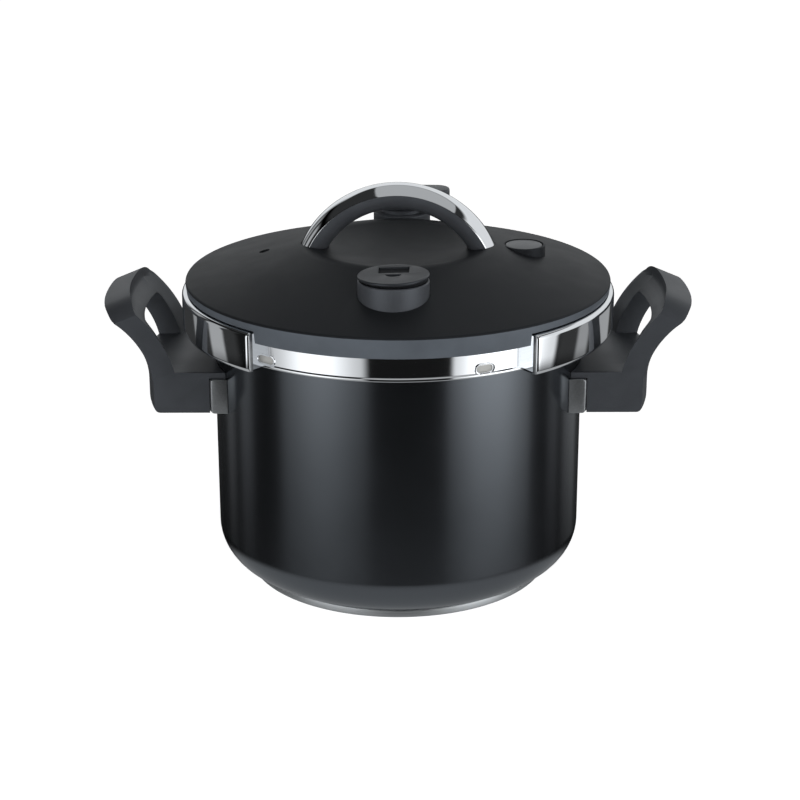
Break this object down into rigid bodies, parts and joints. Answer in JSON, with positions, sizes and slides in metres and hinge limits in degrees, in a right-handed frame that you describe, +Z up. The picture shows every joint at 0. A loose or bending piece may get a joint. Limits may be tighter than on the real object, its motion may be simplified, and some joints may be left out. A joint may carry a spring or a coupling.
{
  "type": "pressure cooker",
  "caption": "Stovetop pressure cooker with a coated steel pot, two loop side handles, and a domed lid with an arched grip that is held by two sliding jaws.",
  "frame": {"origin": "centre of the base plate's underside, on the hob", "axes": "+X towards the right side handle, +Y towards the locking lever at the back, +Z up"},
  "size_m": [0.3518, 0.2554, 0.2405],
  "materials": {
    "black_enamel": "satin baked coating",
    "base_steel": "satin, brushed",
    "bracket_steel": "satin, brushed",
    "polished_steel": "mirror polished stainless steel",
    "jaw_chrome": "mirror chrome",
    "trim_chrome": "mirror chrome",
    "carrier_steel": "zinc-grey pressed steel",
    "screw_steel": "plain steel",
    "handle_bakelite": "fine-grained satin",
    "cover_plastic": "fine-grained matte",
    "knob_plastic": "fine-grained satin",
    "silicone": "matte",
    "valve_metal": "turned"
  },
  "bodies": {
    "pot": {"pot_body": "black_enamel", "base_plate": "base_steel", "handle_bracket_left": "bracket_steel", "handle_bracket_right": "bracket_steel", "side_handle_left": "handle_bakelite", "side_handle_right": "handle_bakelite", "handle_screws": "screw_steel"},
    "lid": {"lid_pan": "polished_steel", "lid_gasket": "silicone", "lid_cover": "cover_plastic", "cover_screws": "screw_steel", "arch_grip": "cover_plastic", "arch_trim": "trim_chrome", "arch_screws": "screw_steel", "guide_studs": "screw_steel", "lever_pivot": "screw_steel", "regulator_seat": "valve_metal", "regulator_nut": "valve_metal", "safety_valve": "valve_metal", "indicator_grommet": "silicone", "button_guide": "cover_plastic", "button_spring": "screw_steel"},
    "jaw_left": {"jaw_left": "jaw_chrome", "carrier_left": "carrier_steel", "jaw_rivets_left": "screw_steel"},
    "jaw_right": {"jaw_right": "jaw_chrome", "carrier_right": "carrier_steel", "jaw_rivets_right": "screw_steel"},
    "lock_lever": {"lever_knob": "knob_plastic", "lever_pinion": "screw_steel"},
    "release_button": {"release_button": "knob_plastic"},
    "regulator": {"regulator_body": "knob_plastic", "regulator_cap": "knob_plastic", "relief_spring": "screw_steel"},
    "relief_valve": {"relief_valve": "valve_metal"},
    "indicator": {"indicator_pin": "valve_metal", "indicator_seal": "silicone"}
  },
  "joints": [
    {"name": "lid_lift", "type": "slide", "parent": "pot", "child": "lid", "axis": [0, 0, 1], "range_m": [0, 0.15]},
    {"name": "jaw_left_slide", "type": "slide", "parent": "lid", "child": "jaw_left", "axis": [-0.9995, 0.0314, 0], "range_m": [-0.002, 0.004]},
    {"name": "jaw_right_slide", "type": "slide", "parent": "lid", "child": "jaw_right", "axis": [0.9995, -0.0314, 0], "range_m": [-0.002, 0.004]},
    {"name": "lever_turn", "type": "hinge", "parent": "lid", "child": "lock_lever", "pos_m": [0.00254, 0.08096, 0.19], "axis": [0, 0, 1], "range_deg": [-30, 15]},
    {"name": "button_press", "type": "slide", "parent": "lid", "child": "release_button", "axis": [0, 0, -1], "range_m": [0, 0.0035], "stiffness_N_per_m": 400, "springref_m": -0.002, "deforming": ["button_spring"]},
    {"name": "regulator_turn", "type": "hinge", "parent": "lid", "child": "regulator", "pos_m": [-0.00256, -0.08146, 0.19], "axis": [0, 0, 1], "range_deg": [-60, 60]},
    {"name": "relief_lift", "type": "slide", "parent": "regulator", "child": "relief_valve", "axis": [0, 0, 1], "range_m": [0, 0.002], "stiffness_N_per_m": 300, "springref_m": -0.0019, "deforming": ["relief_spring"]},
    {"name": "indicator_rise", "type": "slide", "parent": "lid", "child": "indicator", "axis": [0, 0, 1], "range_m": [0, 0.005]}
  ],
  "couplings": [
    {"joint": "jaw_right_slide", "follows": "jaw_left_slide", "ratio": 1},
    {"joint": "lever_turn", "follows": "jaw_left_slide", "rad_per_m": -125}
  ]
}
